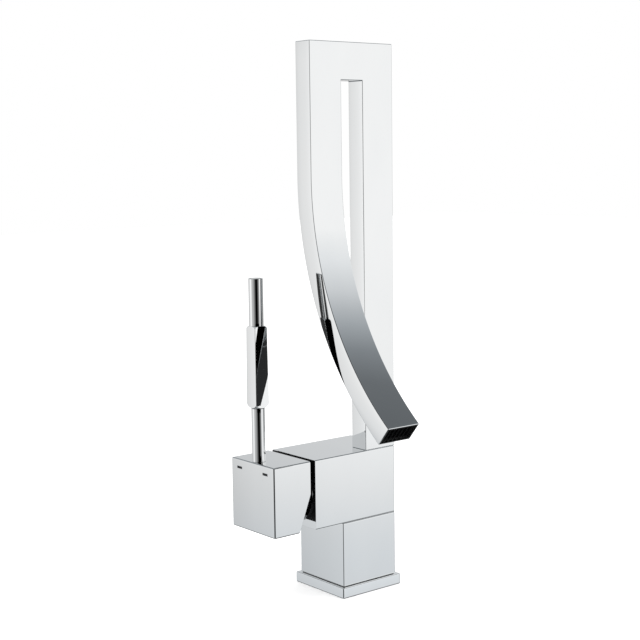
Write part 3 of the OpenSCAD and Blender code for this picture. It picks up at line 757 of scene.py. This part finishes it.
# Index marks
# Two short dashes, milled into the cap's outer face and filled with dark enamel.
enamel = use_effect(*new_finish("dark_enamel", (0.02, 0.02, 0.022), 0, 0.25), moulded,
                    {"Smooth": 0.15, "Dull": 0.1}, ((0.008, 0.008, 0.009), (0.014, 0.014, 0.016)),
                    0.000005)
enamel.node_tree.nodes["Principled BSDF"].inputs["Specular IOR Level"].default_value = 0.15
dress(enamel, "index_hot", "index_cold")

# Studio
# A white table and a white tent, darker above and below the piece, with a black card
# close to the lever. Tent and card show only where they are mirrored, the rest sees white.
bpy.ops.object.select_all(action="DESELECT")
bpy.ops.mesh.primitive_plane_add(size=8)
floor = bpy.context.object
floor.name = "studio_table"
floor.visible_glossy = False
white_table, table_shader = new_finish("white_table", (1, 1, 1), 0, 1)[:2]
table_shader.inputs["Specular IOR Level"].default_value = 0
table_shader.inputs["Emission Color"].default_value = (1, 1, 1, 1)
table_shader.inputs["Emission Strength"].default_value = 0.36
floor.data.materials.append(white_table)

bpy.ops.object.select_all(action="DESELECT")
bpy.ops.object.light_add(type="AREA", location=(-0.3, -0.5, 1.6))
soft_box = bpy.context.object
soft_box.name = "soft_box"
soft_box.data.shape = "DISK"
soft_box.data.size = 1.6
soft_box.data.energy = 6
soft_box.rotation_euler = (radians(12), 0, radians(-31))
soft_box.visible_camera = soft_box.visible_glossy = False

world = bpy.data.worlds.new("white_tent")
scene.world = world
world.use_nodes = True
sky = world.node_tree
sky.nodes.clear()
way = sky.nodes.new("ShaderNodeTexCoord").outputs["Generated"]
parts = sky.nodes.new("ShaderNodeSeparateXYZ")
sky.links.new(way, parts.inputs[0])


def bands(tree, value, low, high, stops):
    """A Color Ramp over a range of a value, from stops of place, brightness and coolness."""
    ramp = tree.nodes.new("ShaderNodeValToRGB")
    tree.links.new(spread(tree, value, low, high, 0, 1), ramp.inputs["Fac"])
    marks = ramp.color_ramp.elements
    marks.remove(marks[0])
    for i, (at, bright, cool) in enumerate(stops):
        stop = marks[0] if i == 0 else marks.new(1)
        stop.position = (at - low) / (high - low)
        stop.color = (bright * (1 - 0.04 * cool), bright, bright * (1 + 0.035 * cool), 1)
    return ramp.outputs["Color"]


def tinted(operation, a, b, share=None):
    """A Mix Color node."""
    mix = sky.nodes.new("ShaderNodeMix")
    mix.data_type, mix.blend_type = "RGBA", operation
    mix.inputs["Factor"].default_value = 1
    if share is not None:
        sky.links.new(share, mix.inputs["Factor"])
    sky.links.new(a, mix.inputs["A"])
    sky.links.new(b, mix.inputs["B"])
    return mix.outputs["Result"]


height = sums(sky, "DEGREES", sums(sky, "ARCSINE", parts.outputs["Z"]))
bearing = sums(sky, "DEGREES", sums(sky, "ARCTAN2", parts.outputs["Y"], parts.outputs["X"]))


def toward(angle):
    """1 toward a bearing from +X in degrees, 0 square to it and -1 away from it."""
    return sums(sky, "COSINE", sums(sky, "RADIANS", sums(sky, "SUBTRACT", bearing, angle)))


to_front, to_right = toward(-35), toward(40)
by_height = bands(sky, height, -90, 90, (
    (-90, 0.035, 1), (-48, 0.035, 1), (-36, 0.3, 1), (-24, 0.68, 1), (-19, 0.72, 1),
    (-17, 0.765, 1), (-16, 0.79, 0.8), (-14, 0.875, 0.3), (-12, 0.96, 0.2), (-9, 0.99, 0),
    (-4, 1.02, 0), (12, 1.02, 0), (15, 0.96, 0.2), (20, 0.88, 0.5), (27, 0.685, 0.8),
    (31, 0.53, 1.2), (34, 0.43, 1.6), (39.5, 0.26, 2), (44.7, 0.17, 2), (48.5, 0.152, 2),
    (65, 0.14, 2), (90, 0.3, 1)))
# Round the tent at the height of the piece, by bearing from +X, and higher up
low_down = bands(sky, bearing, -180, 180, (
    (-180, 0.45, 0), (-165, 0.62, 0), (-152, 0.8, 0), (-135, 0.88, 0), (-105, 0.93, 0),
    (-76, 0.97, 0), (-51, 1, 0), (-43, 1, 0), (-30, 0.5, 0), (-16, 0.15, 0), (-6, 0.3, 0),
    (8, 0.6, 0), (60, 0.63, 0), (85, 0.64, 0), (108, 0.66, 0), (118, 0.72, 0), (126, 0.84, 0),
    (130, 0.87, 0), (138, 0.97, 0), (142, 1.1, 0), (150, 1.1, 0), (158, 0.95, 0),
    (170, 0.62, 0), (180, 0.42, 0)))
high_up = bands(sky, to_front, -1, 1, (
    (-1, 0.64, 0.5), (0, 0.63, 0.5), (0.07, 0.665, 0.5), (0.82, 0.94, 0), (0.96, 1, 0),
    (1, 1, 0)))
# Behind and level with the piece it is black to what is mirrored twice, as the lever in the spout
rays = sky.nodes.new("ShaderNodeLightPath")
off_back = sums(sky, "ABSOLUTE", sums(sky, "SUBTRACT", bearing, 45))
behind = sums(sky, "MULTIPLY", spread(sky, off_back, 60, 50, 0, 1),
              sums(sky, "MULTIPLY", spread(sky, height, -16, -13, 0, 1), spread(sky, height, 8, 12, 1, 0)))
behind = sums(sky, "MULTIPLY", behind, sums(sky, "GREATER_THAN", rays.outputs["Glossy Depth"], 1.5))
low_down = tinted("MULTIPLY", low_down, spread(sky, behind, 0, 1, 1, 0.07))
around = tinted("MIX", low_down, high_up, spread(sky, height, 4, 10, 0, 1))
# Below, the table is in shade at the back and lit at the front and left
table_top = spread(sky, to_right, -0.1, -0.5, 0.8, 10)
around = tinted("MIX", table_top, around, spread(sky, height, -46, -36, 0, 1))
light = tinted("MULTIPLY", by_height, around)
behind_above = sums(sky, "MULTIPLY", spread(sky, height, 40, 55, 0, 1), spread(sky, to_front, 0.5, 0, 0, 1))
overhead = sky.nodes.new("ShaderNodeRGB").outputs[0]
overhead.default_value = (0.5, 0.52, 0.53, 1)
light = tinted("MIX", light, overhead, behind_above)
tent = sky.nodes.new("ShaderNodeBackground")
sky.links.new(light, tent.inputs["Color"])
plain = sky.nodes.new("ShaderNodeBackground")
plain.inputs["Color"].default_value = (1, 1, 1, 1)
choose = sky.nodes.new("ShaderNodeMixShader")
sky.links.new(rays.outputs["Is Glossy Ray"], choose.inputs[0])
sky.links.new(plain.outputs[0], choose.inputs[1])
sky.links.new(tent.outputs[0], choose.inputs[2])
world_out = sky.nodes.new("ShaderNodeOutputWorld")
sky.links.new(choose.outputs[0], world_out.inputs["Surface"])

# The black card beside the camera curves round the lever, and fades out to its sides
card_r, card_h, card_z = 120, 460, 170
card_from, card_to = -170, -72
bpy.ops.object.select_all(action="DESELECT")
bpy.ops.mesh.primitive_cylinder_add(vertices=180, radius=card_r * 0.001, depth=card_h * 0.001,
                                    end_fill_type="NOTHING", location=mm(*lever_at, card_z))
black_card = bpy.context.object
black_card.name = "black_card"
bpy.ops.object.mode_set(mode="EDIT")


def past_card(face):
    """Test for faces beyond the card's upright sides, by their bearing from the lever."""
    middle = face.calc_center_median()
    return not card_from < degrees(atan2(middle.y, middle.x)) < card_to


pick("faces", past_card)
bpy.ops.mesh.delete(type="FACE")
bpy.ops.object.mode_set(mode="OBJECT")
paper = bpy.data.materials.new("black_paper")
paper.use_nodes = True
paint = paper.node_tree
paint.nodes.clear()
spot = paint.nodes.new("ShaderNodeSeparateXYZ")
paint.links.new(paint.nodes.new("ShaderNodeTexCoord").outputs["Object"], spot.inputs[0])
round_lever = sums(paint, "DEGREES", sums(paint, "ARCTAN2", spot.outputs["Y"], spot.outputs["X"]))
cover = bands(paint, round_lever, -180, 0, (
    (-170, 0, 0), (-162, 0.44, 0), (-152, 0.65, 0), (-141, 0.84, 0), (-133, 0.97, 0), (-129, 1, 0),
    (-109, 1, 0), (-105, 0.98, 0), (-94, 0.88, 0), (-86, 0.75, 0), (-76, 0.48, 0), (-72, 0.3, 0)))
# Level with the grip it is black to its sides, and above the lever and at its foot it is thinner
level_with_grip = sums(paint, "COMPARE", spot.outputs["Z"], -0.034, 0.032)
wide = sums(paint, "MULTIPLY", spread(paint, round_lever, -76, -84, 0, 1),
            spread(paint, round_lever, -150, -141, 0, 1))
cover = sums(paint, "MAXIMUM", cover, sums(paint, "MULTIPLY", wide, level_with_grip))
cover = sums(paint, "MULTIPLY", cover, spread(paint, spot.outputs["Z"], 0.05, 0.1, 1, 0.7))
cover = sums(paint, "MULTIPLY", cover, spread(paint, spot.outputs["Z"], -0.16, -0.11, 0.95, 1))
ink = paint.nodes.new("ShaderNodeEmission")
ink.inputs["Color"].default_value = (0, 0, 0, 1)
fade = paint.nodes.new("ShaderNodeMixShader")
paint.links.new(cover, fade.inputs[0])
paint.links.new(paint.nodes.new("ShaderNodeBsdfTransparent").outputs[0], fade.inputs[1])
paint.links.new(ink.outputs[0], fade.inputs[2])
paint.links.new(fade.outputs[0], paint.nodes.new("ShaderNodeOutputMaterial").inputs["Surface"])
black_card.data.materials.append(paper)
black_card.visible_camera = black_card.visible_diffuse = black_card.visible_shadow = False
black_card.visible_transmission = black_card.visible_volume_scatter = False

# The colours are shown as they are lit
scene.view_settings.view_transform = "Standard"
